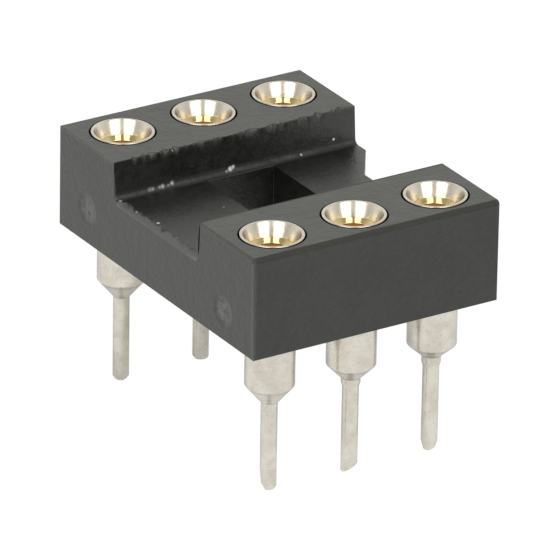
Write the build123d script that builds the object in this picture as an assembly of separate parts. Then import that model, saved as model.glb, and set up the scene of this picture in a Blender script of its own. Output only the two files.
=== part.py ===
from build123d import *
import math
import os

# Six-way turned-pin socket for a dual in-line package. All sizes are in millimetres.
# X runs along each row of pins, Y from the near row to the far row and Z up.
# The origin is the middle of the pin field, in the plane where the sleeves' shoulders meet the board.

# Pin field: the inset from each long face leaves the standard 7.62 between the rows
pitch = 2.54
pins_per_row = 3
row_inset = 1.19

# Housing, one moulding
standoff = 1.42
body_width = 10.00
body_height = 2.90
web_height = 1.82
stacking_gap = 0.02
rail_inboard = 1.64
channel_draft = 4.0
edge_break = 0.03
root_radius = 0.15

# Window through the web, and the index notch at its +X end
window_length = 2.10
window_shift = 0.05
window_ledge = 0.02
notch_mouth = 3.15
notch_floor = 0.48
notch_depth = 0.89

# Ejector marks on the -X end face: shallow round pockets
mark_diameter = 0.96
mark_depth = 0.03
mark_inset = 1.50
mark_height = 0.91

# Turned sleeve
head_diameter = 1.73
head_height = 0.50
rim_proud = 0.02
rim_width = 0.08
funnel_half_angle = 22.5
barrel_diameter = 1.35
bore_diameter = 1.11
bore_depth = 3.20
shoulder_drop = 0.54
neck_diameter = 0.53
tail_diameter = 0.45
tail_length = 3.17

# Four-finger contact, rolled from thin strip and pressed into the sleeve's bore.
# Its flared lip lies on the foot of the funnel.
lip_depth = 0.38
lead_in_half_angle = 45.0
collar_wall = 0.05
collar_length = 0.70
finger_count = 4
finger_wall = 0.05
finger_length = 1.55
slit_width = 0.10
throat_diameter = 0.40
throat_land = 0.25

# Clearances, each on the radius or the height
head_clearance = 0.03
barrel_clearance = 0.01
contact_clearance = 0.005

# The tails as they were turned and cut off, which differs from sleeve to sleeve.
# Cone: height of the shoulder cone above the neck, or 0 where the cone runs straight into the tail.
# Trim: what the tail lacks in length. Nose: how far the tip's cone comes in and goes up.
# Bite: the slant cut on one side of the tip, as heading in degrees from +X, run across the tail and rise.
# Columns: cone, trim, nose in, nose up, bite heading, bite run, bite rise
bite_left = 148.0
bite_right = -32.0
tail_forms = {
    1: (0.00, 0.04, 0.00, 0.00, bite_right, 0.12, 0.08),
    2: (0.00, 0.19, 0.00, 0.00, bite_left, 0.12, 0.08),
    3: (0.00, 0.15, 0.07, 0.10, bite_right, 0.16, 0.12),
    4: (0.00, 0.10, 0.05, 0.08, bite_left, 0.17, 0.27),
    5: (0.42, 0.00, 0.00, 0.00, bite_right, 0.40, 0.24),
    6: (0.37, 0.02, 0.07, 0.26, bite_right, 0.24, 0.10),
}

# Derived sizes
body_length = pins_per_row * pitch - stacking_gap
row_spacing = body_width - 2 * row_inset
channel_width = row_spacing - 2 * rail_inboard
rail_rise = body_height - web_height
web_span = channel_width - 2 * rail_rise * math.tan(math.radians(channel_draft))
root_run = root_radius / math.tan(math.radians((90 + channel_draft) / 2))
window_width = web_span - 2 * (root_run + window_ledge)
body_top = standoff + body_height
web_top = standoff + web_height
rim_top = body_top + rim_proud
head_bottom = rim_top - head_height
head_radius = head_diameter / 2
barrel_radius = barrel_diameter / 2
bore_radius = bore_diameter / 2
neck_radius = neck_diameter / 2
tail_radius = tail_diameter / 2
throat_radius = throat_diameter / 2
mouth_radius = head_radius - rim_width
funnel_foot = rim_top - (mouth_radius - bore_radius) / math.tan(math.radians(funnel_half_angle))
lip_top = rim_top - lip_depth
lip_radius = mouth_radius - lip_depth * math.tan(math.radians(funnel_half_angle)) - contact_clearance


def pin_centres():
    """Place of each pin by its number: along the far row from the notched end, then back along the near row."""
    reach = (pins_per_row - 1) / 2 * pitch
    far = [(reach - index * pitch, row_spacing / 2) for index in range(pins_per_row)]
    near = [(-x, -y) for x, y in far]
    return dict(enumerate(far + near, start=1))


def turned(half_section):
    """Solid of revolution about Z from the (radius, height) points of its half section."""
    corners = [point for point, before in zip(half_section, half_section[-1:] + half_section) if point != before]
    return revolve(Plane.XZ * make_face(Polyline(*corners, close=True)), Axis.Z)


def housing_blank():
    """Both rails and the web, as one block with the channel cut along it, and its moulded edges broken."""
    block = extrude(Plane.XY.offset(standoff) * Rectangle(body_length, body_width), body_height)
    channel = make_face(
        Polyline(
            (-web_span / 2, web_top),
            (web_span / 2, web_top),
            (channel_width / 2, body_top),
            (-channel_width / 2, body_top),
            close=True,
        )
    )
    roots = channel.vertices().sort_by(Axis.Y)[:2]
    channel = Plane.YZ * fillet(roots, root_radius)
    block -= extrude(channel, body_length, both=True)
    return chamfer(block.edges().filter_by(is_moulded_edge), edge_break)


def is_moulded_edge(edge):
    """True for the edges round the rails' tops and the block's ends, but not for those of its underside."""
    box = edge.bounding_box()
    at_top = box.min.Z > body_top - edge_break
    at_end = box.size.X < edge_break
    on_underside = box.max.Z < standoff + edge_break
    return (at_top or at_end) and not on_underside


def window_cutter():
    """Opening through the web, as wide as the flat between the roots of both rails."""
    height = web_height + root_radius
    centre = Pos(window_shift, 0, standoff + height / 2)
    return centre * Box(window_length, window_width, height)


def notch_cutter():
    """Index notch with slanted sides, through the web at its +X end."""
    end = body_length / 2
    outline = make_face(
        Polyline(
            (end, -notch_mouth / 2),
            (end, notch_mouth / 2),
            (end - notch_depth, notch_floor / 2),
            (end - notch_depth, -notch_floor / 2),
            close=True,
        )
    )
    overrun = Pos(end + notch_depth / 2, 0) * Rectangle(notch_depth, notch_mouth)
    return extrude(Plane.XY.offset(standoff) * (outline + overrun), web_height + root_radius)


def pin_hole():
    """Stepped hole for one sleeve: a counterbore for its head and a bore for its barrel."""
    bore = Cylinder(barrel_radius + barrel_clearance, body_height)
    counterbore = Cylinder(head_radius + head_clearance, body_top - head_bottom)
    middle = standoff + body_height / 2
    return Pos(0, 0, middle) * bore + Pos(0, 0, (head_bottom + body_top) / 2) * counterbore


def ejector_mark():
    """Pocket of one ejector mark, centred on the origin and open along X."""
    return Rot(0, 90, 0) * Cylinder(mark_diameter / 2, 2 * mark_depth)


def housing():
    """The black moulding that holds both rows of sleeves."""
    body = housing_blank() - window_cutter() - notch_cutter()
    for x, y in pin_centres().values():
        body -= Pos(x, y, 0) * pin_hole()
    for side in (-1, 1):
        place = Pos(-body_length / 2, side * (body_width / 2 - mark_inset), standoff + mark_height)
        body -= place * ejector_mark()
    return body


def tip_bite(heading, run, rise, tip):
    """Wedge that cuts the side of a tail's tip, from rise up its flank to run across its end."""
    length = math.hypot(run, rise)
    reach = tail_diameter
    across, upward = reach * run / length, reach * rise / length
    inner = (tail_radius - run - across, tip - upward)
    outer = (tail_radius + across, tip + rise + upward)
    wedge = make_face(Polyline(inner, outer, (outer[0], inner[1]), close=True))
    return Rot(0, 0, heading) * extrude(Plane.XZ * wedge, tail_diameter, both=True)


def sleeve(cone, trim, nose_in, nose_up, heading, run, rise):
    """Turned sleeve: funnel and bore above, head, barrel, shoulder cone, neck and solder tail below."""
    tip = trim - tail_length
    bore_floor = rim_top - bore_depth
    neck = [(neck_radius, -cone)] if cone else []
    outside = [
        (mouth_radius, rim_top),
        (head_radius, rim_top),
        (head_radius, head_bottom),
        (barrel_radius, head_bottom),
        (barrel_radius, 0),
        *neck,
        (tail_radius, -shoulder_drop),
        (tail_radius, tip + nose_up),
        (tail_radius - nose_in, tip),
        (0, tip),
    ]
    inside = [
        (0, bore_floor),
        (bore_radius, bore_floor),
        (bore_radius, funnel_foot),
    ]
    return turned(outside + inside) - tip_bite(heading, run, rise, tip)


def contact():
    """Spring contact: a flared lip, a collar in the bore, and fingers below it that close to a throat."""
    outer = bore_radius - contact_clearance
    inner = outer - collar_wall
    lead_in_foot = lip_top - (lip_radius - inner) / math.tan(math.radians(lead_in_half_angle))
    collar_foot = lip_top - collar_length
    toe = collar_foot - finger_length
    body = turned(
        [
            (lip_radius, lip_top),
            (outer, funnel_foot),
            (outer, collar_foot),
            (throat_radius + finger_wall, toe),
            (throat_radius, toe),
            (throat_radius, toe + throat_land),
            (inner, collar_foot),
            (inner, lead_in_foot),
        ]
    )
    slit = Pos(outer, 0, (collar_foot + toe) / 2) * Box(2 * outer, slit_width, finger_length)
    for index in range(finger_count):
        body -= Rot(0, 0, 360 / finger_count * (index + 0.5)) * slit
    return body


def save(node, solid):
    """Write one piece under the name of its node."""
    solid.label = node
    export_step(solid, os.path.join("parts", node + ".step"))


os.makedirs("parts", exist_ok=True)
save("housing", housing())
for number, (x, y) in pin_centres().items():
    save(f"sleeve_{number}", Pos(x, y, 0) * sleeve(*tail_forms[number]))
    save(f"contact_{number}", Pos(x, y, 0) * contact())
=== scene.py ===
# %% [markdown]
# # A six-way turned-pin socket, dressed for its portrait
#
# The object is a small open-frame socket for a six-legged chip: a black
# moulding with two rails and a web between them, and six turned sleeves that
# stand in its rails, each with a gold spring contact inside. Its solids come
# packed, in metres, as a fixed frame. This lesson gives every visible piece
# the shape and finish that a close photograph asks for, and leaves the sizes
# as they are. The first step loads the frame and keeps its box.

# %% Load the frame
import math

import bmesh
import bpy
from mathutils import Matrix, Vector, noise


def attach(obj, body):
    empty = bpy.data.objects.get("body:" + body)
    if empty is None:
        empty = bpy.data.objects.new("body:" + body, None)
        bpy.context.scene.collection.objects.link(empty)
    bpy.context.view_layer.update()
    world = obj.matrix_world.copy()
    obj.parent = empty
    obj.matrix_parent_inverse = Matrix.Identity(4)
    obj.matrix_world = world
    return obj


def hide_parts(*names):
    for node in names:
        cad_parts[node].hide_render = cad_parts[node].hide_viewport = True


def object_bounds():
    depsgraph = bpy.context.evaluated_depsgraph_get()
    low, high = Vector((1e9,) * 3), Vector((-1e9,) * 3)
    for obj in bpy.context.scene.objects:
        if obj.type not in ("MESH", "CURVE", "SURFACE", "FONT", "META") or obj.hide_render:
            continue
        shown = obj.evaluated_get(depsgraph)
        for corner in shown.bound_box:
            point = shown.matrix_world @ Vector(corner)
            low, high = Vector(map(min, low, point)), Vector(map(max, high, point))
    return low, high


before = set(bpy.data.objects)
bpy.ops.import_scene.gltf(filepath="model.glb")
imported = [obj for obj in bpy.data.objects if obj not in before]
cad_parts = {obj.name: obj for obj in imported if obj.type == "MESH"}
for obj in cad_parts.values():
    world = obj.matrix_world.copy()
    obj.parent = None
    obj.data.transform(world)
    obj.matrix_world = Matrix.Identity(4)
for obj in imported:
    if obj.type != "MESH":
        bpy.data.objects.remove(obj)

frame_low, frame_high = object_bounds()
MM = 0.001
print("CAD nodes:", len(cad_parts))
print("frame box in mm:", [round(c / MM, 2) for c in (*frame_low, *frame_high)])

# %% [markdown]
# ## Sizes that the pieces share
#
# The frame's solids already have these sizes. They are written down once
# more, in millimetres, because every finer piece below is drawn from them.
# Numbers near one are easy to read and are also kinder to the mesh tools than
# numbers near a thousandth, so each piece is drawn in millimetres and is
# brought down to metres as its last step.

# %% Shared sizes, in millimetres
PITCH = 2.54
ROW_SPACING = 7.62
PINS = {1: (1, 1), 2: (0, 1), 3: (-1, 1), 4: (-1, -1), 5: (0, -1), 6: (1, -1)}
BODY_LENGTH = 7.60
BODY_WIDTH = 10.00
UNDERSIDE = 1.42
BODY_TOP = 4.32
WEB_TOP = 3.24
RIM_TOP, LIP_DEPTH = 4.34, 0.38
LIP_TOP = RIM_TOP - LIP_DEPTH
CHANNEL_WIDTH = 4.34
CHANNEL_DRAFT = 4.0
WALL_LEAN = math.tan(math.radians(CHANNEL_DRAFT))
WEB_SPAN = CHANNEL_WIDTH - 2 * (BODY_TOP - WEB_TOP) * WALL_LEAN


def pin_place(number):
    """Where a pin's axis meets the board, in millimetres."""
    along, side = PINS[number]
    return along * PITCH, side * ROW_SPACING / 2


print("pins stand at", {number: pin_place(number) for number in PINS})

# %% [markdown]
# ## The camera
#
# The photograph was taken from the left front, 25 degrees above the board,
# with a long lens: parallel edges stay almost parallel. Such a view is fixed
# by four things: where the camera looks, from which side, from how far, and
# how long its lens is. Its own axes follow from the direction that it looks
# in, turned by a small roll, because the object is not quite level there.

# %% Set up the camera
AZIMUTH, ELEVATION, ROLL = (math.radians(a) for a in (32.233, 24.966, 1.009))
DISTANCE = 222.294 * MM
AIM_RIGHT, AIM_UP = 0.102 * MM, -0.499 * MM
FOCAL_PIXELS, FRAME_PIXELS, SENSOR = 8292.07, 560, 36.0

ahead = Vector((
    math.sin(AZIMUTH) * math.cos(ELEVATION),
    math.cos(AZIMUTH) * math.cos(ELEVATION),
    -math.sin(ELEVATION),
))
level = Vector((math.cos(AZIMUTH), -math.sin(AZIMUTH), 0))
above = level.cross(ahead)
camera_right = level * math.cos(ROLL) + above * math.sin(ROLL)
camera_up = above * math.cos(ROLL) - level * math.sin(ROLL)
stand = Vector((0, 0, UNDERSIDE * MM)) - ahead * DISTANCE
stand += camera_right * AIM_RIGHT + camera_up * AIM_UP

lens = bpy.data.cameras.new("camera")
lens.sensor_width = SENSOR
lens.lens = FOCAL_PIXELS / FRAME_PIXELS * SENSOR
lens.clip_start, lens.clip_end = 0.01, 10
camera = bpy.data.objects.new("camera", lens)
axes = Matrix((camera_right, camera_up, -ahead)).transposed()
camera.matrix_world = Matrix.Translation(stand) @ axes.to_4x4()
bpy.context.scene.collection.objects.link(camera)
bpy.context.scene.camera = camera
bpy.context.scene.view_settings.view_transform = "Standard"
print(f"lens {lens.lens:.0f} mm, {DISTANCE / MM:.0f} mm from the socket")

# %% [markdown]
# ## Shader maths that reads like maths
#
# A material is a graph of nodes. Wiring it by hand takes several lines for
# every plus sign, so a small class wraps the output socket of a node and
# overloads Python's operators: `1 - mask` then adds the Math node itself. All
# other nodes come from one method, which takes the node's type, its settings
# and the values or links of its sockets. The settings come first, because
# some of them decide which sockets the node has. The world has such a graph
# too, so the method sits in a class of its own, and a material's class adds
# what only a surface has: a place on the piece, patterns, masks and coats.

# %% The shader helper
class Field:
    """A quantity that may differ from point to point: one output socket."""

    def __init__(self, shader, socket):
        self.shader = shader
        self.socket = socket

    def maths(self, operation, *values):
        """A Math node, for single numbers."""
        return self.shader.node("ShaderNodeMath", {"operation": operation}, values)

    def __add__(self, other):
        return self.maths("ADD", self, other)

    def __sub__(self, other):
        return self.maths("SUBTRACT", self, other)

    def __rsub__(self, other):
        return self.maths("SUBTRACT", other, self)

    def __mul__(self, other):
        return self.maths("MULTIPLY", self, other)

    def __or__(self, other):
        """The larger of two, which joins two masks."""
        return self.maths("MAXIMUM", self, other)

    __radd__ = __add__
    __rmul__ = __mul__
    __ror__ = __or__

    def ramp(self, low, high, start=0.0, end=1.0):
        """Goes smoothly from start to end while this goes from low to high."""
        settings = {"interpolation_type": "SMOOTHSTEP"}
        return self.shader.node("ShaderNodeMapRange", settings, (self, low, high, start, end))

    def fall(self, low, high):
        """Mask: 1 while this is below low, 0 when it is above high."""
        return self.ramp(low, high, 1.0, 0.0)

    def band(self, low, from_here, to_here, high):
        """Mask: 1 between two values, 0 below low and above high."""
        return self.ramp(low, from_here) * self.fall(to_here, high)


class Graph:
    """The node graph of a material or of the world."""

    def __init__(self, tree):
        self.tree = tree
        self.tree.nodes.clear()

    def node(self, kind, settings=None, values=(), output=0, **named):
        """Add a node; values go to its sockets in order, named ones by name."""
        node = self.tree.nodes.new(kind)
        for key, value in (settings or {}).items():
            setattr(node, key, value)
        inputs = dict(values) if isinstance(values, dict) else dict(enumerate(values))
        inputs.update({key.replace("_", " "): value for key, value in named.items()})
        for key, value in inputs.items():
            if isinstance(value, Field):
                self.tree.links.new(value.socket, node.inputs[key])
            elif value is not None:
                node.inputs[key].default_value = value
        return Field(self, node.outputs[output]) if node.outputs else node

    def vector(self, operation, *values, output=0, **named):
        """A Vector Math node, for places and directions."""
        settings = {"operation": operation}
        return self.node("ShaderNodeVectorMath", settings, values, output, **named)

    def ray(self, kind):
        """1 for rays of one kind, such as Camera or Glossy, and 0 for the others."""
        return self.node("ShaderNodeLightPath", output=f"Is {kind} Ray")


class Shader(Graph):
    """The node graph of one material."""

    def __init__(self, name):
        self.material = bpy.data.materials.new(name)
        self.material.use_nodes = True
        super().__init__(self.material.node_tree)
        place = self.node("ShaderNodeTexCoord", output="Object")
        self.place = self.vector("SCALE", place, Scale=1 / MM)

    def parts(self):
        """The three coordinates of a point on the piece, in millimetres."""
        return [self.node("ShaderNodeSeparateXYZ", None, (self.place,), axis) for axis in "XYZ"]

    def noise(self, scale, detail=3.0, roughness=0.55, place=None):
        """Soft random pattern around 0.5, with so many waves in a millimetre."""
        place = place or self.place
        return self.node("ShaderNodeTexNoise", None, {"Vector": place}, "Fac",
                         Scale=scale, Detail=detail, Roughness=roughness)

    def near(self, point, reach, edge=0.5):
        """Mask round a point: 1 inside, 0 beyond reach, both in millimetres."""
        gap = self.vector("DISTANCE", self.place, point, output="Value")
        return gap.ramp(reach * (1 - edge), reach, 1.0, 0.0)

    def mix(self, factor, first, second):
        """From the first colour to the second as the factor goes from 0 to 1."""
        first, second = (c if isinstance(c, Field) else (*c, 1.0) for c in (first, second))
        inputs = {0: factor, 6: first, 7: second}
        return self.node("ShaderNodeMix", {"data_type": "RGBA"}, inputs, 2)

    def paint(self, colour, *coats):
        """Lay coats over a colour, in order: each is a mask and what shows there."""
        for mask, coat in coats:
            colour = self.mix(mask, colour, coat)
        return colour

    def bump(self, height, depth, normal=None):
        """Surface normal for a height field from 0 to 1 that is depth mm deep."""
        return self.node("ShaderNodeBump", None, {"Height": height, "Normal": normal}, "Normal",
                         Strength=1.0, Distance=depth * MM)

    def finish(self, **sockets):
        """The shader itself, with everything that reaches it."""
        surface = self.node("ShaderNodeBsdfPrincipled", None, (), **sockets)
        self.node("ShaderNodeOutputMaterial", None, (surface,))
        print(self.material.name, "has", len(self.tree.nodes), "nodes")
        return self.material


# %% [markdown]
# ## Light
#
# The photograph shows a white surround and, in every funnel, two bright
# streaks side by side. A funnel is a curved mirror, so the streaks' edges say
# where the lamps stand: two tall soft panels, upright, left and right of the
# camera. Two area lights take their places. The world adds the room that the
# metal mirrors: white behind the socket, greyer towards the ceiling and on the
# camera's own side, where the room was dim. It also gives a weaker even fill to
# everything that isn't a mirror. A Light Path node tells the rays apart: the
# camera and mirrors meet the room, and diffuse light only meets the fill, so
# white stays white and the plastic stays black.

# %% Panels and world
PANEL_DISTANCE, PANEL_AZIMUTH, PANEL_SHIFT = 0.5, 32.0, 4.0
PANEL_WIDTH, PANEL_FOOT, PANEL_TOP, PANEL_POWER = 0.37, 0.10, 1.10, 3.0

for name, side in (("panel_left", 1), ("panel_right", -1)):
    bearing = AZIMUTH + math.radians(side * PANEL_AZIMUTH - PANEL_SHIFT)
    away = Vector((-math.sin(bearing), -math.cos(bearing), 0))
    panel = bpy.data.lights.new(name, "AREA")
    panel.shape = "RECTANGLE"
    panel.size, panel.size_y = PANEL_WIDTH, PANEL_TOP - PANEL_FOOT
    panel.energy = PANEL_POWER
    lamp = bpy.data.objects.new(name, panel)
    lamp.location = away * PANEL_DISTANCE + Vector((0, 0, (PANEL_FOOT + PANEL_TOP) / 2))
    lamp.rotation_euler = away.to_track_quat("Z", "Y").to_euler()
    bpy.context.scene.collection.objects.link(lamp)

FILL, BACKDROP, CAMERA_SIDE, CEILING = 0.45, 1.05, 0.62, 0.60
world = bpy.data.worlds.new("studio")
world.use_nodes = True
walls = Graph(world.node_tree)
heading = walls.node("ShaderNodeTexCoord", output="Generated")
height = walls.node("ShaderNodeSeparateXYZ", None, (heading,), "Z")
to_camera = (-math.sin(AZIMUTH), -math.cos(AZIMUTH), 0.0)
facing = walls.vector("DOT_PRODUCT", heading, to_camera, output="Value")
mirrored = facing.ramp(-0.3, 0.6, BACKDROP, CAMERA_SIDE) * height.ramp(0.45, 0.95, 1.0, CEILING)
by_camera = walls.ray("Camera")
by_mirror = walls.ray("Glossy") | walls.ray("Transmission")
level_seen = by_camera + (1 - by_camera) * by_mirror * mirrored
strength = level_seen + (1 - level_seen.ramp(0.0, 0.01)) * FILL
glow = walls.node("ShaderNodeBackground", None, {"Color": (1, 1, 1, 1), "Strength": strength})
walls.node("ShaderNodeOutputWorld", None, (glow,))
bpy.context.scene.world = world
print("two panels of", PANEL_WIDTH, "m by", PANEL_TOP - PANEL_FOOT, "m, fill", FILL)

# %% [markdown]
# ## The floor
#
# The socket stands on the cut tips of its tails, on a plain white sheet. The
# sheet is a real surface, so it catches the soft shadow, and a share of plain
# glow keeps it as white as the photograph's paper, for the camera and for the
# metal and plastic that mirror it. Mirrors see less of the glow under and
# behind the socket, in its own shade: that draws the pins' grey outlines.

# %% Lay the floor
FLOOR_WHITE, FLOOR_GRAIN, FLOOR_SIZE = 0.93, 0.01, 2.0
GLOW_SHARE, GLOW_STRENGTH = 0.96, 1.03
SHADE_CENTRE, SHADE_DEPTH, SHADE_REACH, OPEN_FROM = (3.2, 5.0, 0.0), 0.60, 6.0, 10.5

paper = Shader("white_sheet")
flat_place = paper.vector("MULTIPLY", paper.place, (1, 1, 0))
from_shade = paper.vector("DISTANCE", flat_place, SHADE_CENTRE, output="Value")
glow_mirrored = from_shade.ramp(SHADE_REACH, OPEN_FROM, 1 - SHADE_DEPTH, 1.0)
by_mirror = paper.ray("Glossy") | paper.ray("Transmission")
paper_seen = paper.ray("Camera") | by_mirror * glow_mirrored
pulp = paper.noise(0.8).ramp(0.3, 0.7, FLOOR_WHITE - FLOOR_GRAIN, FLOOR_WHITE + FLOOR_GRAIN)
tint = paper.node("ShaderNodeCombineColor", None, (pulp, pulp, pulp))
matte = paper.node("ShaderNodeBsdfDiffuse", None, {"Color": tint})
lit = paper.node("ShaderNodeEmission", None, {"Color": (1, 1, 1, 1), "Strength": GLOW_STRENGTH})
sheet_surface = paper.node("ShaderNodeMixShader", None, (paper_seen * GLOW_SHARE, matte, lit))
paper.node("ShaderNodeOutputMaterial", None, (sheet_surface,))

sheet = bmesh.new()
bmesh.ops.create_grid(sheet, x_segments=8, y_segments=8, size=FLOOR_SIZE / 2)
floor_mesh = bpy.data.meshes.new("floor")
sheet.to_mesh(floor_mesh)
sheet.free()
floor_mesh.transform(Matrix.Translation((0, 0, frame_low.z)))
floor_mesh.materials.append(paper.material)
floor = bpy.data.objects.new("floor", floor_mesh)
bpy.context.scene.collection.objects.link(floor)
print(f"floor at {frame_low.z / MM:.2f} mm")

# %% [markdown]
# ## Black moulding compound
#
# The housing is glass-filled plastic, moulded in black. Straight on it is
# nearly black; at a flat angle it mirrors the pale room, which is why the
# rails' tops look grey in the photograph and the channel's wall looks black.
# That comes from the shader's own Fresnel, so the colour stays dark and only
# its small variations are drawn. Three noises, coarse to fine, give those, and
# the same noises fray the masks. The web's -X end is worn grey. The edges of
# that end get a paler band, which is a painted highlight, and small white
# spots in the corners and on the web are painted glints. The mottle is a bump
# as much as a colour: a tilt of one degree changes what a flat angle mirrors,
# as on the real moulding. A film of dust lies on the tops. Along the near
# rail's upper edges and in the far wall's root the surface is rougher.

# %% Plastic: its patterns, where it is worn, and its painted highlight and glints
MARKS = [(-BODY_LENGTH / 2, -3.46, 2.24), (-BODY_LENGTH / 2, 3.53, 2.42)]
MARK_RADIUS = 0.48
# Painted glints, as small white spots along the far wall's foot, on that wall and on the web:
# x, y, z, size, strength
PAINTED_GLINTS = [
    (-0.19, 2.08, 3.37, 0.100, 1.00),
    (-0.10, 2.09, 3.40, 0.085, 0.90),
    (-0.31, 2.07, 3.33, 0.060, 0.45),
    (-2.02, 2.09, 3.36, 0.085, 0.60),
    (-2.14, 2.08, 3.33, 0.060, 0.25),
    (-2.32, 2.08, 3.34, 0.090, 0.45),
    (-2.41, 2.08, 3.33, 0.070, 0.30),
    (-2.63, 2.08, 3.33, 0.080, 0.28),
    (-2.72, 2.08, 3.33, 0.090, 0.22),
    (-1.96, 2.17, 4.27, 0.045, 0.70),
    (2.04, 2.07, 3.29, 0.055, 0.55),
    (3.10, 2.11, 3.50, 0.055, 0.90),
    (-3.54, 0.29, 3.24, 0.070, 1.00),
    (-3.66, 1.23, 3.24, 0.060, 0.70),
    (-3.69, 1.99, 3.24, 0.060, 0.50),
    (-1.49, 0.30, 3.24, 0.045, 0.40),
]

plastic = Shader("black_moulding")
along, across, up = plastic.parts()
from_end, over_web, over_top = along + BODY_LENGTH / 2, up - WEB_TOP, up - BODY_TOP
from_near_side, from_near_wall = across + BODY_WIDTH / 2, across + CHANNEL_WIDTH / 2
cloud = plastic.noise(0.9, 4)
mottle = plastic.noise(5.0, 4, 0.6)
grain = plastic.noise(15.0, 3, 0.65)
ragged = (mottle - 0.5) * 0.30 + (grain - 0.5) * 0.14

marked = plastic.near(MARKS[0], MARK_RADIUS, 0.6) | plastic.near(MARKS[1], MARK_RADIUS, 0.6)
marked = marked * (mottle + grain * 0.6).ramp(0.62, 0.95)
# Painted glints: small white spots at the listed places
glint_mask, *others = [plastic.near((x, y, z), size, 0.95) * amount for x, y, z, size, amount in PAINTED_GLINTS]
for glint in others:
    glint_mask = glint_mask | glint
web_end = (from_end + ragged * 1.7).fall(0.15, 0.20)
web_end = web_end * over_web.band(-0.14, -0.10, 0.02, 0.10) * across.band(-2.13, -2.05, 1.97, 2.03)
# Painted highlight: a paler band along the edges of the -X end, by the near side and the tops
end_highlight = (from_end + ragged * 0.4).fall(0.0, 0.10)
corner_highlight = end_highlight * (from_near_side + ragged * 0.5).fall(0.02, 0.22)
top_edge_highlight = end_highlight * (over_top - ragged * 0.5).ramp(-0.10, -0.02)
lips = over_top.ramp(-0.14, -0.08) * from_near_wall.ramp(-0.12, -0.06) * across.fall(0.0, 1.0)
lips = lips | over_top.ramp(-0.16, -0.10) * from_near_side.fall(0.10, 0.16)
roots = across.band(1.92, 1.98, 2.11, 2.15) * over_web.band(-0.05, -0.01, 0.16, 0.22)
roots = roots * from_end.ramp(0.02, 0.06)
# The flecks counted here are painted glints
print(len(PAINTED_GLINTS), "flecks and", len(MARKS), "ejector marks on the plastic")

# %% Plastic: its colour, gloss and relief
DARKEST, PALEST, DUST = (0.0002, 0.0002, 0.0002), (0.0118, 0.0120, 0.0114), (0.0160, 0.0166, 0.0088)
# The web's grey is wear; the edge colour next to it is a painted highlight
WORN_WEB, EDGE_HIGHLIGHT = (0.085, 0.085, 0.080), (0.040, 0.041, 0.037)
# The white here is the colour of the painted glints
MARK_GREY, GLINT_WHITE = (0.120, 0.124, 0.110), (0.80, 0.79, 0.75)
ROUGHNESS, LIP_ROUGHER, MARK_ROUGHER, WEB_END_ROUGHER = 0.34, 0.35, 0.20, 0.15

shade = cloud.ramp(0.35, 0.65, 0.0, 0.35) + mottle.ramp(0.35, 0.65, 0.0, 0.40)
shade = shade + grain.ramp(0.36, 0.64, 0.0, 0.35)
black = plastic.paint(
    plastic.mix(shade, DARKEST, PALEST),
    (over_top.ramp(-0.05, -0.01) * (0.5 + shade), DUST),
    (web_end, WORN_WEB),
    # painted highlight on the edges of the -X end
    ((corner_highlight | top_edge_highlight) * 0.8, EDGE_HIGHLIGHT),
    (marked * 0.9, MARK_GREY),
    # painted glints
    (glint_mask, GLINT_WHITE),
)
gloss = ROUGHNESS + (cloud - 0.5) * 0.12 + (mottle - 0.5) * 0.10
gloss = gloss + marked * MARK_ROUGHER + web_end * WEB_END_ROUGHER + lips * LIP_ROUGHER
gloss = gloss + roots * (cloud + mottle * 0.5).ramp(0.60, 0.85, 0.45, 0.15)
relief = None
for pattern, depth in ((grain, 0.0085), (mottle, 0.0110), (cloud, 0.0200)):
    relief = plastic.bump(pattern, depth, relief)
plastic.finish(
    Base_Color=black, Roughness=gloss, IOR=1.60, Specular_Tint=(1.0, 1.0, 0.95, 1.0), Normal=relief,
)

# %% [markdown]
# ## Tinned sleeves
#
# The sleeves are turned from brass and tin-plated. Tin is a pale, slightly
# warm metal. Plated tin is satin rather than bright: it has soft blotches,
# where the plating is a little duller, and under it the fine rings that the
# turning tool left. The rings follow the pin's own height, so they come from
# a noise that is stretched flat: it changes quickly along the height and
# hardly at all across. The colour leans to straw yellow in the shelter under
# the housing, and at the funnel's foot, where the gold contact rubs. The
# barrel is darker just above its shoulder, and that darker band is painted shade.

# %% Tin
DULL_TIN, PALE_TIN, TIN_SPECK = (0.595, 0.560, 0.480), (0.705, 0.675, 0.590), (0.44, 0.41, 0.34)
# The second colour here is painted shade for the shoulder
STRAW, SHOULDER_SHADE, GILT = (0.62, 0.53, 0.38), (0.44, 0.42, 0.38), (0.58, 0.47, 0.27)

tin = Shader("tin_plate")
_, _, tin_height = tin.parts()
stretched = tin.vector("MULTIPLY", tin.place, (0.6, 0.6, 14.0))
rings = tin.noise(1.0, 3, 0.6, stretched)
blotch = tin.noise(2.2, 4, 0.6)
speck = tin.noise(14.0, 3, 0.6)
sheltered = tin_height.ramp(UNDERSIDE - 0.35, UNDERSIDE + 0.05)
# Painted shade: a darker band round the shoulder
shoulder = tin_height.band(-0.17, -0.07, -0.04, 0.02)
gilded = tin_height.band(LIP_TOP - 0.02, LIP_TOP, LIP_TOP, LIP_TOP + 0.16)
silver = tin.paint(
    tin.mix(blotch.ramp(0.32, 0.68), DULL_TIN, PALE_TIN),
    (speck.ramp(0.56, 0.70) * 0.5, TIN_SPECK),
    (sheltered * 0.35, STRAW),
    # painted shade at the shoulder
    (shoulder * 0.5, SHOULDER_SHADE),
    (gilded * 0.6, GILT),
)
satin = 0.22 + (blotch - 0.5) * 0.16 + speck.ramp(0.5, 0.8) * 0.08
turned = tin.bump(rings, 0.0018)
turned = tin.bump(blotch, 0.0060, turned)
tin.finish(
    Base_Color=silver, Metallic=1.0, Roughness=satin, Normal=turned,
    Specular_Tint=(0.80, 0.80, 0.84, 1.0),
)

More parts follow.
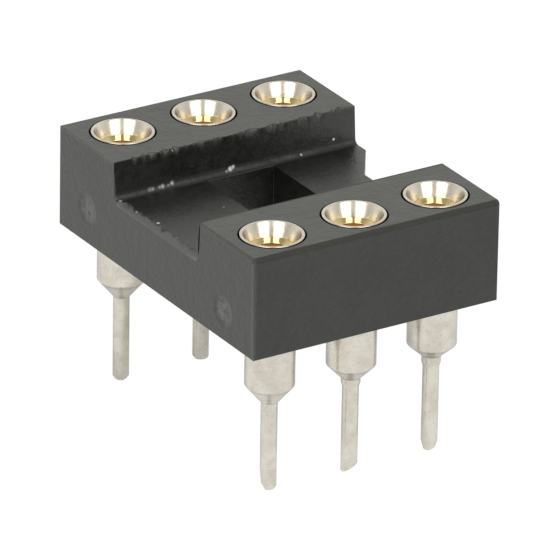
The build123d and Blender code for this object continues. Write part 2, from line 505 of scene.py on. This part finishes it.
# %% [markdown]
# ## Gold on the contacts
#
# The contact inside each sleeve is spring metal with a thin gold plating. It
# is smoother than the tin. Deep in the bore the light bounces from gold to
# gold and each bounce makes it redder, which needs no extra colour: the
# shader only gets the metal's own tint, with a slightly browner patch here
# and there, where the plating is thin. The lip is rubbed paler by every leg
# that is pushed in, and below it the plating is matt and orange.

# %% Gold
GOLD, THIN_GOLD = (0.80, 0.52, 0.17), (0.60, 0.34, 0.11)
LIP_GOLD, THIN_LIP_GOLD, MATT_ORANGE = (0.64, 0.50, 0.25), (0.50, 0.36, 0.16), (0.72, 0.36, 0.07)

gold = Shader("gold_plate")
_, _, gold_height = gold.parts()
worn = gold.noise(5.0, 3).ramp(0.45, 0.75)
on_lip = gold_height.ramp(LIP_TOP - 0.15, LIP_TOP - 0.10)
below_lip = gold_height.fall(LIP_TOP - 0.17, LIP_TOP - 0.11)
yellow = gold.paint(
    gold.mix(worn, GOLD, THIN_GOLD),
    (on_lip, gold.mix(worn, LIP_GOLD, THIN_LIP_GOLD)),
    (below_lip, MATT_ORANGE),
)
gold_relief = gold.bump(gold.noise(9.0, 2), 0.0025)
gold.finish(
    Base_Color=yellow, Metallic=1 - below_lip * 0.55, Roughness=0.11 + worn * 0.08, Normal=gold_relief,
)

# %% [markdown]
# ## Mesh helpers
#
# Three small tools make every piece below. `rounded` walks along a corner
# list and sweeps each corner by an arc, and gives the outward direction at
# each point, so that the same outline can be drawn a little smaller or
# larger. `loft` skins a stack of such outlines. `lathe` turns a half section
# about the upright axis, as the real sleeves were turned.

# %% Rounded outlines, lofts and turned shapes
ARC_STEPS = 4


def rounded(corners, closed=True, steps=ARC_STEPS):
    """Points (a, b, outward a, outward b) along (a, b, radius) corners."""
    points = []
    count = len(corners)
    for index, (a, b, radius) in enumerate(corners):
        here = Vector((a, b))
        before = Vector(corners[index - 1][:2])
        after = Vector(corners[(index + 1) % count][:2])
        first, last = not closed and index == 0, not closed and index == count - 1
        along = (after - here).normalized() if first else (here - before).normalized()
        onward = along if last else (after - here).normalized()
        turn = math.atan2(along.cross(onward), along.dot(onward))
        if first or last or radius == 0 or abs(turn) < 1e-4:
            normal = Vector((along.y + onward.y, -along.x - onward.x)) / (1 + along.dot(onward))
            points.append((here.x, here.y, normal.x, normal.y))
            continue
        back = radius * math.tan(abs(turn) / 2)
        inward = Vector((-along.y, along.x)) * math.copysign(1, turn)
        start = here - along * back
        centre = start + inward * radius
        for step in range(steps + 1):
            arm = start - centre
            arm.rotate(Matrix.Rotation(turn * step / steps, 2))
            normal = arm / radius * math.copysign(1, turn)
            points.append((centre.x + arm.x, centre.y + arm.y, normal.x, normal.y))
    return points


def loft(rings, cap_parts=None):
    """Closed skin over a stack of rings of points.

    Each cap is one face, or one for each list of point numbers in cap_parts.
    """
    skin = bmesh.new()
    rows = [[skin.verts.new(point) for point in ring] for ring in rings]
    for lower, upper in zip(rows, rows[1:]):
        for k in range(len(lower)):
            skin.faces.new((lower[k - 1], lower[k], upper[k], upper[k - 1]))
    for row in (rows[0], rows[-1]):
        for part in cap_parts or [range(len(row))]:
            skin.faces.new([row[k] for k in part])
    bmesh.ops.recalc_face_normals(skin, faces=skin.faces)
    return skin


def lathe(section, sides=96, centre=(0.0, 0.0)):
    """Closed solid of revolution from (radius, height) points, axis to axis."""
    body = bmesh.new()
    rows = []
    for radius, height in section:
        if radius < 1e-6:
            rows.append([body.verts.new((*centre, height))])
            continue
        ring = []
        for k in range(sides):
            turn = 2 * math.pi * k / sides
            ring.append(body.verts.new((
                centre[0] + radius * math.cos(turn), centre[1] + radius * math.sin(turn), height)))
        rows.append(ring)
    for lower, upper in zip(rows, rows[1:]):
        for k in range(sides):
            corners = [lower[k % len(lower)], lower[k - 1] if len(lower) > 1 else None,
                       upper[k - 1] if len(upper) > 1 else None, upper[k % len(upper)]]
            body.faces.new([c for c in corners if c])
    bmesh.ops.recalc_face_normals(body, faces=body.faces)
    return body


def piece(name, shape, material=None, sharp=35, shown=True):
    """Object from a mesh in millimetres; a finished one comes down to metres."""
    mesh = bpy.data.meshes.new(name)
    if isinstance(shape, bmesh.types.BMesh):
        shape.to_mesh(mesh)
        shape.free()
    else:
        mesh = shape
        mesh.name = name
    if material:
        mesh.materials.clear()
        mesh.materials.append(material)
    mesh.shade_smooth()
    mesh.set_sharp_from_angle(angle=math.radians(sharp))
    if shown:
        mesh.transform(Matrix.Scale(MM, 4))
    made = bpy.data.objects.new(name, mesh)
    bpy.context.scene.collection.objects.link(made)
    return made


def evaluated(source):
    """Plain mesh of an object with its modifiers carried out; removes the object."""
    graph = bpy.context.evaluated_depsgraph_get()
    mesh = bpy.data.meshes.new_from_object(source.evaluated_get(graph))
    bpy.data.objects.remove(source)
    return mesh


def faces_text(thing):
    """What a mesh is made of, in words."""
    corners = [len(face.vertices) for face in thing.data.polygons]
    return f"{thing.name}: {len(corners)} faces, {sum(corners) - 2 * len(corners)} triangles"


# %% [markdown]
# ## Housing: the blank
#
# The moulding is one U-shaped section drawn out along the rows, so a loft
# suits it: the same rounded section at every station, and at both ends a few
# more stations that shrink it along a quarter circle, which rounds the ends'
# edges. Every corner of the section has its own two radii, one along the
# moulding and one at its -X end, because the photograph shows some edges
# crisp and others rubbed soft. The far rail's inner top edge is ragged: the
# mould left it with small teeth, so it wanders in and out from station to
# station, and guard points beside it keep the large faces out of that. The
# near rail's outer edge is unevenly rubbed, which only moves the points of
# its rounding. The web's end isn't round but worn down at a slant, and that
# wear is ragged too.

# %% The section of the moulding
ROOT, FAR_END_EDGE = 0.15, 0.015
ROOT_RUN = ROOT / math.tan(math.radians((90 + CHANNEL_DRAFT) / 2))
WEB_FLAT = WEB_SPAN / 2 - ROOT_RUN
WORN_FROM, WORN_TO, WEB_POINTS = 0.06 - WEB_FLAT, WEB_FLAT - 0.06, 44
GUARD, MID_GUARD, LOW_GUARD = 0.12, 0.07, 0.24
web_points = [WORN_TO + (WORN_FROM - WORN_TO) * k / WEB_POINTS for k in range(WEB_POINTS + 1)]
# Once round the section: y, z, radius along the moulding, radius at its -X end
section_plan = [
    (-BODY_WIDTH / 2, UNDERSIDE, 0.020, 0.015),
    (WORN_FROM, UNDERSIDE, 0, 0.015),
    (WORN_TO, UNDERSIDE, 0, 0.015),
    (BODY_WIDTH / 2, UNDERSIDE, 0.020, 0.015),
    (BODY_WIDTH / 2, BODY_TOP, 0.030, 0.025),
    (CHANNEL_WIDTH / 2 + GUARD, BODY_TOP, 0, 0.010),
    (CHANNEL_WIDTH / 2, BODY_TOP, 0.014, 0.010),
    (CHANNEL_WIDTH / 2 - MID_GUARD * WALL_LEAN, BODY_TOP - MID_GUARD, 0, 0.010),
    (CHANNEL_WIDTH / 2 - LOW_GUARD * WALL_LEAN, BODY_TOP - LOW_GUARD, 0, 0.010),
    (WEB_SPAN / 2, WEB_TOP, ROOT, 0.05),
    *[(y, WEB_TOP, 0, 0.05) for y in web_points],
    (-WEB_SPAN / 2, WEB_TOP, ROOT, 0.05),
    (GUARD * WALL_LEAN - CHANNEL_WIDTH / 2, BODY_TOP - GUARD, 0, 0.05),
    (-CHANNEL_WIDTH / 2, BODY_TOP, 0.060, 0.05),
    (-CHANNEL_WIDTH / 2 - GUARD, BODY_TOP, 0, 0.05),
    (-BODY_WIDTH / 2, BODY_TOP, 0.11, 0.08),
]
section = rounded([corner[:3] for corner in section_plan])
end_radii = [end for _, _, along, end in section_plan for _ in range(ARC_STEPS + 1 if along else 1)]
print("the section has", len(section), "points")

# %% Loft the blank
# The worn end of the web, from its flat top to the end face: inset, drop
WORN_END = [
    (0.22, 0.0), (0.19, 0.010), (0.14, 0.028), (0.09, 0.048),
    (0.045, 0.070), (0.015, 0.090), (0.0, 0.11),
]
END_STEPS = len(WORN_END) - 1
FAR_TOOTH, TOOTH_MEAN, LONG_EDGE_WEAR = 0.070, 0.6, 0.010
WORN_END_SPREAD, FADE_FAR, FADE_NEAR = 0.35, 0.1, 0.4
FAR_TOOTH_SEED, LONG_EDGE_SEED, WORN_END_SEED = 11.0, 37.0, 3.0
TOOTH_EVERY, STATION_STEP, END_REACH, CLOSE = 0.16, 0.045, 0.42, 0.001


def wander(place, seed):
    """Smooth random number of about -1 to 1 along a line, the same at every run."""
    coarse = noise.noise(Vector((place / TOOTH_EVERY, seed, 0.5)))
    return 1.3 * coarse + 0.9 * noise.noise(Vector((2.7 * place / TOOTH_EVERY, seed, 7.5)))


def end_ring(side, step):
    """One ring of the blank near an end, from full size at step 0 to the end face."""
    turn = math.pi / 2 * step / END_STEPS
    ring = []
    for (y, z, out_y, out_z), radius in zip(section, end_radii):
        radius = radius if side < 0 else FAR_END_EDGE
        inset, shrink = radius * (1 - math.sin(turn)), radius * (1 - math.cos(turn))
        on_web = WORN_FROM - CLOSE < y < WORN_TO + CLOSE and abs(z - WEB_TOP) < CLOSE
        if side < 0 and on_web:
            inset, shrink = WORN_END[step]
            inset *= 1 + WORN_END_SPREAD * wander(y, WORN_END_SEED)
            fade = min(1.0, (WORN_TO - y) / FADE_FAR, (y - WORN_FROM) / FADE_NEAR)
            shrink = shrink * fade + radius * (1 - math.cos(turn)) * (1 - fade)
        ring.append((side * (BODY_LENGTH / 2 - inset), y - out_y * shrink, z - out_z * shrink))
    return ring


def along_ring(x):
    """One ring between the ends, with the long top edges worn in by a random depth."""
    ring = []
    for y, z, out_y, out_z in section:
        # First the far rail's inner top edge, then the near rail's outer one
        if z > BODY_TOP - LOW_GUARD and 0 < y < CHANNEL_WIDTH / 2 + GUARD / 2:
            share = (1 - (BODY_TOP - z) / LOW_GUARD) ** 2
            y += share * FAR_TOOTH * max(0.0, TOOTH_MEAN + wander(x, FAR_TOOTH_SEED))
        elif z > UNDERSIDE + 1 and out_y < -0.2 and out_z > 0.2 and y < 0:
            depth = LONG_EDGE_WEAR * (1 + wander(x, LONG_EDGE_SEED))
            y, z = y - out_y * depth, z - out_z * depth
        ring.append((x, y, z))
    return ring


def section_index(y, z):
    """Which point of the section lies at a place."""
    return min(range(len(section)), key=lambda k: math.hypot(section[k][0] - y, section[k][1] - z))


# The U of an end face in three simple parts: far rail, web and near rail
low_near, low_far = section_index(WORN_FROM, UNDERSIDE), section_index(WORN_TO, UNDERSIDE)
web_far, web_near = section_index(WORN_TO, WEB_TOP), section_index(WORN_FROM, WEB_TOP)
end_parts = [
    [*range(low_far, web_far + 1)],
    [low_near, low_far, *range(web_far, web_near + 1)],
    [*range(web_near, len(section)), *range(low_near + 1)],
]
ring_count = round((BODY_LENGTH - 2 * END_REACH) / STATION_STEP)
between = [(BODY_LENGTH - 2 * END_REACH) * (k / ring_count - 0.5) for k in range(ring_count + 1)]
stations = [end_ring(-1, step) for step in range(END_STEPS, -1, -1)]
stations += [along_ring(x) for x in between]
stations += [end_ring(1, step) for step in range(END_STEPS + 1)]
blank = piece("blank", loft(stations, end_parts), shown=False)
print(faces_text(blank))

# %% [markdown]
# ## Housing: one cutter per pin
#
# Each sleeve stands in a stepped hole. The six holes are alike and lie on a
# grid, which is a rule, so a Geometry Nodes tree lays them out: it takes one
# turned cutter, sets copies of it on the points of a grid, and turns the
# copies into real mesh. Its sizes are named inputs. A modifier knows its
# inputs by identifier, so a helper looks the identifier up by name.

# %% A helper for trees
class Tree:
    """A Geometry Nodes tree with named inputs, built one node at a time."""

    def __init__(self, name, inputs):
        self.group = bpy.data.node_groups.new(name, "GeometryNodeTree")
        face = self.group.interface
        face.new_socket("Geometry", in_out="INPUT", socket_type="NodeSocketGeometry")
        for title, (kind, value) in inputs.items():
            socket = face.new_socket(title, in_out="INPUT", socket_type="NodeSocket" + kind)
            if value is not None:
                socket.default_value = value
        face.new_socket("Geometry", in_out="OUTPUT", socket_type="NodeSocketGeometry")
        self.start = self.group.nodes.new("NodeGroupInput")

    def node(self, kind, settings=None, values=None, output=0):
        node = self.group.nodes.new(kind)
        for key, value in (settings or {}).items():
            setattr(node, key, value)
        for key, value in (values or {}).items():
            if isinstance(value, bpy.types.NodeSocket):
                self.group.links.new(value, node.inputs[key])
            else:
                node.inputs[key].default_value = value
        return node.outputs[output] if node.outputs else node

    def maths(self, operation, first, second):
        return self.node("ShaderNodeMath", {"operation": operation}, {0: first, 1: second})

    def end(self, geometry):
        self.node("NodeGroupOutput", None, {0: geometry})

    def apply(self, source, **values):
        """Run the tree on an object, and hand back the plain mesh."""
        modifier = source.modifiers.new(self.group.name, "NODES")
        modifier.node_group = self.group
        for socket in self.group.interface.items_tree:
            title = socket.name.replace(" ", "_").lower()
            if socket.in_out == "INPUT" and title in values:
                modifier[socket.identifier] = values[title]
        return evaluated(source)


# %% The grid of hole cutters
HEAD_BOTTOM = 3.84
BORE_RADIUS, COUNTERBORE_RADIUS = 0.685, 0.910
HOLE_OVERRUN = 0.5

pin_grid = Tree("pin_grid", {
    "Columns": ("Int", 3),
    "Rows": ("Int", 2),
    "Pitch": ("Float", PITCH),
    "Row spacing": ("Float", ROW_SPACING),
    "Finish": ("Material", None),
})
given = pin_grid.start.outputs
gaps_along = pin_grid.maths("SUBTRACT", given["Columns"], 1)
gaps_across = pin_grid.maths("SUBTRACT", given["Rows"], 1)
length = pin_grid.maths("MULTIPLY", gaps_along, given["Pitch"])
width = pin_grid.maths("MULTIPLY", gaps_across, given["Row spacing"])
points = pin_grid.node("GeometryNodeMeshGrid", None, {
    "Size X": length, "Size Y": width, "Vertices X": given["Columns"], "Vertices Y": given["Rows"]})
copies = pin_grid.node("GeometryNodeInstanceOnPoints", None, {
    "Points": points, "Instance": given["Geometry"]})
solid = pin_grid.node("GeometryNodeRealizeInstances", None, {"Geometry": copies})
pin_grid.end(pin_grid.node("GeometryNodeSetMaterial", None, {
    "Geometry": solid, "Material": given["Finish"]}))

hole = rounded([
    (0, UNDERSIDE - HOLE_OVERRUN, 0),
    (BORE_RADIUS + 0.06, UNDERSIDE - HOLE_OVERRUN, 0),
    (BORE_RADIUS + 0.06, UNDERSIDE - 0.02, 0),
    (BORE_RADIUS, UNDERSIDE + 0.04, 0),
    (BORE_RADIUS, HEAD_BOTTOM, 0),
    (COUNTERBORE_RADIUS, HEAD_BOTTOM, 0),
    (COUNTERBORE_RADIUS, BODY_TOP - 0.02, 0),
    (COUNTERBORE_RADIUS + 0.006, BODY_TOP - 0.006, 0),
    (COUNTERBORE_RADIUS + 0.025, BODY_TOP + 0.008, 0),
    (COUNTERBORE_RADIUS + 0.025, BODY_TOP + HOLE_OVERRUN, 0),
    (0, BODY_TOP + HOLE_OVERRUN, 0),
], closed=False)
one_hole = piece("one_hole", lathe([point[:2] for point in hole], 72), shown=False)
six_holes = pin_grid.apply(
    one_hole, columns=3, rows=2, pitch=PITCH, row_spacing=ROW_SPACING, finish=plastic.material)
holes = piece("holes", six_holes, shown=False)
print(faces_text(holes))

# %% [markdown]
# ## Housing: window, notch and ejector marks
#
# The other openings have one cutter each. The window and the notch are lofts
# that flare by a few hundredths of a millimetre where they leave the web, so
# that the edge they cut is rounded from the start. An ejector mark is a
# shallow round pocket with a rough, slightly raised middle, and beside the
# near rail's inner edge the plastic has left a short upright flow line, which
# a thin wedge cuts.

# %% Cutters for the openings and marks
FLARE, FLARE_STEPS = 0.018, 3


def through_web(outline, reach=0.4):
    """Upright cutter through the web, with an outline that flares at its top."""
    levels = [(0.0, UNDERSIDE - reach)]
    for step in range(FLARE_STEPS + 1):
        turn = math.pi / 2 * step / FLARE_STEPS
        levels.append((FLARE * (1 - math.cos(turn)), WEB_TOP - FLARE * (1 - math.sin(turn))))
    levels.append((FLARE, WEB_TOP + reach))
    return loft([[(x + nx * grow, y + ny * grow, z) for x, y, nx, ny in outline] for grow, z in levels])


WINDOW_FROM, WINDOW_TO, WINDOW_SIDE, WINDOW_CORNER = -1.00, 1.10, WEB_FLAT - 0.02, 0.012
NOTCH_MOUTH, NOTCH_FLOOR, NOTCH_DEPTH, MOUTH_ROUND = 3.15, 0.48, 0.89, 0.05
window_outline = rounded([
    (WINDOW_FROM, -WINDOW_SIDE, WINDOW_CORNER),
    (WINDOW_TO, -WINDOW_SIDE, WINDOW_CORNER),
    (WINDOW_TO, WINDOW_SIDE, WINDOW_CORNER),
    (WINDOW_FROM, WINDOW_SIDE, WINDOW_CORNER),
])
end = BODY_LENGTH / 2
notch_outline = rounded([
    (end + 1, -NOTCH_MOUTH / 2 - 0.25, 0),
    (end + 1, NOTCH_MOUTH / 2 + 0.25, 0),
    (end + 0.01, NOTCH_MOUTH / 2 + 0.2, 0),
    (end, NOTCH_MOUTH / 2, MOUTH_ROUND),
    (end - NOTCH_DEPTH, NOTCH_FLOOR / 2, 0.06),
    (end - NOTCH_DEPTH, -NOTCH_FLOOR / 2, 0.06),
    (end, -NOTCH_MOUTH / 2, MOUTH_ROUND),
    (end + 0.01, -NOTCH_MOUTH / 2 - 0.2, 0),
])
# The flow line from its foot to its top: y, z, share of its full width and depth
FLOW_LINE = [(-2.190, 3.38, 0.3), (-2.198, 3.50, 0.8), (-2.215, 3.90, 1.0), (-2.230, 4.22, 0.6)]
FLOW_HALF_WIDTH, FLOW_DEPTH, FLOW_OVERRUN = 0.040, 0.16, 0.02
flow_rings = []
for y, z, share in FLOW_LINE:
    outside = -end - FLOW_OVERRUN
    flow_rings.append([
        (outside, y + FLOW_HALF_WIDTH * share, z),
        (outside, y - FLOW_HALF_WIDTH * share, z),
        (-end + FLOW_DEPTH * share, y, z),
    ])
cutters = [
    holes,
    piece("window", through_web(window_outline), shown=False),
    piece("notch", through_web(notch_outline), shown=False),
    piece("flow_line", loft(flow_rings), shown=False),
]
for number, (x, y, z) in enumerate(MARKS):
    pocket = lathe([
        (0, -0.010), (0.05, -0.007), (0.09, -0.016), (0.16, -0.013), (0.20, -0.018), (0.30, -0.017),
        (0.38, -0.012), (MARK_RADIUS, 0.004), (MARK_RADIUS + 0.01, 0.2), (0, 0.2),
    ], 64)
    pocket.transform(Matrix.Translation((x, y, z)) @ Matrix.Rotation(-math.pi / 2, 4, "Y"))
    cutters.append(piece(f"mark_{number}", pocket, shown=False))
print(len(cutters), "cutters:", ", ".join(cutter.name for cutter in cutters))

# %% [markdown]
# ## Housing: cutting
#
# Each cutter is taken away from the blank by a Boolean modifier. Where two
# cuts nearly meet, a Boolean can leave points and faces too small to see, so
# these are merged first. A Weighted Normal modifier keeps the large flat faces
# flat to the eye, and the two end faces, which the cuts cross, are set flat.

# %% Cut the housing
SEAM = 0.0003

for cutter in cutters:
    carve = blank.modifiers.new(cutter.name, "BOOLEAN")
    carve.object = cutter
    carve.solver = "EXACT"
carved = evaluated(blank)
seams = bmesh.new()
seams.from_mesh(carved)
bmesh.ops.remove_doubles(seams, verts=seams.verts, dist=SEAM)
bmesh.ops.dissolve_degenerate(seams, dist=SEAM, edges=seams.edges)
seams.to_mesh(carved)
seams.free()
for cutter in cutters:
    bpy.data.objects.remove(cutter)
carved_piece = piece("carved", carved, plastic.material, sharp=32, shown=False)
for face in carved_piece.data.polygons:
    if abs(face.normal.x) > 0.9999 and BODY_LENGTH / 2 - abs(face.center.x) < CLOSE:
        face.use_smooth = False
weigh = carved_piece.modifiers.new("weigh", "WEIGHTED_NORMAL")
weigh.keep_sharp = True
weigh.weight = 80
housing_mesh = evaluated(carved_piece)
housing_mesh.transform(Matrix.Scale(MM, 4))
housing = bpy.data.objects.new("moulded_housing", housing_mesh)
housing_mesh.name = "moulded_housing"
bpy.context.scene.collection.objects.link(housing)
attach(housing, "root")
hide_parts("housing")
print(faces_text(housing))

# %% [markdown]
# ## Turned sleeves
#
# A sleeve is one turned piece: head with a funnel, barrel, shoulder cone,
# neck and tail. Its half section goes once round from the tip to the bore's
# floor, with every corner slightly rounded, and the lathe helper turns it.
# The six tails differ at their ends, because each was cut from the bar by
# itself: the lower corner is bitten off at a slant that the photograph shows
# pin by pin. A bite is a plane that cuts the last stretch of the tail only,
# and the new edge is rounded as tumbling in a plating barrel rounds it.

# %% Turn the sleeves
HEAD_RADIUS, BARREL_RADIUS, NECK_RADIUS, TAIL_RADIUS = 0.865, 0.675, 0.265, 0.225
MOUTH_RADIUS, SLEEVE_BORE, BORE_FLOOR = 0.785, 0.555, 1.14
FUNNEL_SLOPE = math.tan(math.radians(22.5))
FUNNEL_FOOT = RIM_TOP - (MOUTH_RADIUS - SLEEVE_BORE) / FUNNEL_SLOPE
TAIL_LENGTH, SHOULDER_DROP, TIP_REACH, BITE_ROUND = 3.17, 0.54, 0.85, 0.018
# Cone above the neck, trim, nose in, nose up, then bites: heading, run, rise
TAILS = {
    1: (0.00, 0.04, 0.03, 0.03, [(-32, 0.12, 0.08)]),
    2: (0.00, 0.19, 0.03, 0.03, [(148, 0.12, 0.08)]),
    3: (0.00, 0.15, 0.07, 0.10, [(-32, 0.16, 0.12)]),
    4: (0.00, 0.10, 0.05, 0.08, [(148, 0.17, 0.27), (148, 0.06, 0.60)]),
    5: (0.42, 0.00, 0.02, 0.02, [(-32, 0.40, 0.24)]),
    6: (0.37, 0.02, 0.07, 0.26, [(-32, 0.24, 0.10)]),
}


def bite(tail, axis, heading, run, rise, tip):
    """Cut the tip at a slant, from rise up its flank to run across its end."""
    out = Vector((math.cos(math.radians(heading)), math.sin(math.radians(heading)), 0))
    slope = out * rise + Vector((0, 0, -run))
    foot = Vector((*axis, tip)) + out * (TAIL_RADIUS - run)
    tip_faces = [f for f in tail.faces if all(v.co.z < tip + TIP_REACH + CLOSE for v in f.verts)]
    tip_parts = dict.fromkeys(part for f in tip_faces for part in (f, *f.edges, *f.verts))
    cut = bmesh.ops.bisect_plane(
        tail, geom=list(tip_parts), plane_co=foot, plane_no=slope.normalized(), clear_outer=True)
    rim = [e for e in cut["geom_cut"] if isinstance(e, bmesh.types.BMEdge)]
    filled = bmesh.ops.edgeloop_fill(tail, edges=rim)["faces"]
    bmesh.ops.bevel(
        tail, geom=[e for f in filled for e in f.edges], offset=BITE_ROUND, segments=3, profile=0.5,
        affect="EDGES", clamp_overlap=True)


def sleeve(number):
    """One finished sleeve, where its pin stands."""
    cone, trim, nose_in, nose_up, bites = TAILS[number]
    tip = trim - TAIL_LENGTH
    neck, foot = [], [(TAIL_RADIUS, -SHOULDER_DROP, 0.05)]
    if cone:
        neck = [(NECK_RADIUS, -SHOULDER_DROP, 0.15), (NECK_RADIUS, -cone, 0.05)]
        foot = [(TAIL_RADIUS, -SHOULDER_DROP - 0.14, 0.15)]
    half = rounded([
        (0, tip, 0),
        (TAIL_RADIUS - nose_in, tip, 0.02),
        (TAIL_RADIUS, tip + nose_up, 0.04),
        (TAIL_RADIUS, tip + TIP_REACH, 0),
        *foot,
        *neck,
        (BARREL_RADIUS, 0, 0.06),
        (BARREL_RADIUS, HEAD_BOTTOM, 0),
        (HEAD_RADIUS, HEAD_BOTTOM, 0.02),
        (HEAD_RADIUS, RIM_TOP, 0.018),
        (MOUTH_RADIUS, RIM_TOP, 0.02),
        (SLEEVE_BORE, FUNNEL_FOOT, 0.02),
        (SLEEVE_BORE, BORE_FLOOR, 0.02),
        (0, BORE_FLOOR, 0),
    ], closed=False, steps=3)
    axis = pin_place(number)
    shape = lathe([point[:2] for point in half], 96, axis)
    for heading, run, rise in bites:
        bite(shape, axis, heading, run, rise, tip)
    bmesh.ops.remove_doubles(shape, verts=shape.verts, dist=0.0005)
    made = piece(f"turned_sleeve_{number}", shape, tin.material, sharp=40)
    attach(made, "root")
    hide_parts(f"sleeve_{number}")
    return made


sleeves = [sleeve(number) for number in PINS]
for made in sleeves:
    print(faces_text(made))

# %% [markdown]
# ## Contacts
#
# Each contact is one sheet part: a flared lip on the funnel's foot, a collar
# in the bore, and four fingers that bend inwards to grip a chip's leg. A
# quarter of it is drawn here, one finger with its piece of the collar, and a
# second Geometry Nodes tree sets the quarter out round the axis, makes the
# copies real and joins them along the collar's cuts. The slit between two
# fingers keeps its width all the way down, so each finger covers a smaller
# angle as the radius shrinks.

# %% The contact's quarter
CONTACT_GAP, COLLAR_ROW = 0.005, 0.05
LIP_RADIUS = MOUTH_RADIUS - LIP_DEPTH * FUNNEL_SLOPE - CONTACT_GAP
COLLAR_OUTER, COLLAR_INNER, COLLAR_LENGTH = 0.550, 0.500, 0.70
FINGER_WALL, FINGER_LENGTH, SLIT, THROAT, THROAT_LAND = 0.05, 1.55, 0.10, 0.20, 0.25
FINGERS, ARC, FINGER_ROWS = 4, 12, 12
collar_foot = LIP_TOP - COLLAR_LENGTH


def finger_radius(z):
    """Radius of a finger's inner side: a slow bend from collar to throat."""
    share = max(0.0, min(1.0, (collar_foot - z) / (FINGER_LENGTH - THROAT_LAND)))
    return COLLAR_INNER + (THROAT - COLLAR_INNER) * share * share * (3 - 2 * share)


finger_heights = [collar_foot - FINGER_LENGTH * k / FINGER_ROWS for k in range(FINGER_ROWS + 1)]
inner = [(finger_radius(z), z) for z in finger_heights]
outer = [(r + FINGER_WALL, z) for r, z in inner]
collar = [point[:2] for point in rounded([
    (COLLAR_OUTER, collar_foot + COLLAR_ROW, 0),
    (COLLAR_OUTER, FUNNEL_FOOT, 0.03),
    (LIP_RADIUS - 0.002, LIP_TOP - 0.004, 0),
    (LIP_RADIUS - 0.008, LIP_TOP - 0.004, 0),
    (COLLAR_INNER, LIP_TOP - LIP_RADIUS + COLLAR_INNER, 0.06),
    (COLLAR_INNER, collar_foot + COLLAR_ROW, 0),
], closed=False)]


def quarter():
    """One finger with its quarter of the collar, open along the collar's cuts."""
    sector = bmesh.new()
    half = math.pi / FINGERS

    def row(radius, z):
        edge = half - math.asin(SLIT / 2 / radius)
        turns = [-half] + [edge * (2 * k / ARC - 1) for k in range(ARC + 1)] + [half]
        return [sector.verts.new((radius * math.cos(t), radius * math.sin(t), z)) for t in turns]

    def skin(rows, first=0, last=ARC + 2):
        for lower, upper in zip(rows, rows[1:]):
            for k in range(first, last):
                sector.faces.new((lower[k], lower[k + 1], upper[k + 1], upper[k]))

    outside = [row(radius, z) for radius, z in outer]
    inside = [row(radius, z) for radius, z in inner]
    skin([outside[0], *[row(radius, z) for radius, z in collar], inside[0]])
    skin(outside, 1, ARC + 1)
    skin(inside, 1, ARC + 1)
    skin([outside[-1], inside[-1]], 1, ARC + 1)
    for k, corner in ((1, 0), (ARC + 1, ARC + 2)):
        for upper, lower in zip(zip(outside, inside), zip(outside[1:], inside[1:])):
            sector.faces.new((upper[0][k], upper[1][k], lower[1][k], lower[0][k]))
        sector.faces.new((outside[0][k], inside[0][k], inside[0][corner], outside[0][corner]))
    bmesh.ops.delete(sector, geom=[v for v in sector.verts if not v.link_faces], context="VERTS")
    return sector


print("a finger narrows from", COLLAR_INNER, "to", finger_radius(finger_heights[-1]), "mm")

# %% The tree that repeats the quarter
MERGE = 0.0002

ring_of_fingers = Tree("ring_of_fingers", {
    "Fingers": ("Int", FINGERS),
    "Centre": ("Vector", (0, 0, 0)),
    "First turn": ("Float", 0.0),
    "Finish": ("Material", None),
})
given = ring_of_fingers.start.outputs
spots = ring_of_fingers.node("GeometryNodeMeshLine", None, {
    "Count": given["Fingers"], "Start Location": given["Centre"], "Offset": (0, 0, 0)})
index = ring_of_fingers.node("GeometryNodeInputIndex")
step = ring_of_fingers.maths("DIVIDE", 2 * math.pi, given["Fingers"])
turned_by = ring_of_fingers.maths("MULTIPLY", index, step)
turned_by = ring_of_fingers.maths("ADD", turned_by, given["First turn"])
turns = ring_of_fingers.node("ShaderNodeCombineXYZ", None, {"Z": turned_by})
copies = ring_of_fingers.node("GeometryNodeInstanceOnPoints", None, {
    "Points": spots, "Instance": given["Geometry"], "Rotation": turns})
real = ring_of_fingers.node("GeometryNodeRealizeInstances", None, {"Geometry": copies})
joined = ring_of_fingers.node("GeometryNodeMergeByDistance", None, {"Geometry": real, "Distance": MERGE})
ring_of_fingers.end(ring_of_fingers.node("GeometryNodeSetMaterial", None, {
    "Geometry": joined, "Material": given["Finish"]}))

# %% Make the six contacts
# How far each contact's first finger is turned from +X, in degrees
TURNS = {1: 8, 2: -14, 3: 21, 4: 3, 5: -25, 6: 34}
for number in PINS:
    source = piece(f"quarter_{number}", quarter(), shown=False)
    x, y = pin_place(number)
    whole = ring_of_fingers.apply(source, fingers=FINGERS, centre=(x, y, 0.0),
                                  first_turn=math.radians(TURNS[number]), finish=gold.material)
    closed_contact = bmesh.new()
    closed_contact.from_mesh(whole)
    bmesh.ops.recalc_face_normals(closed_contact, faces=closed_contact.faces)
    made = piece(f"spring_contact_{number}", closed_contact, gold.material, sharp=40)
    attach(made, "root")
    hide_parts(f"contact_{number}")
    print(faces_text(made))
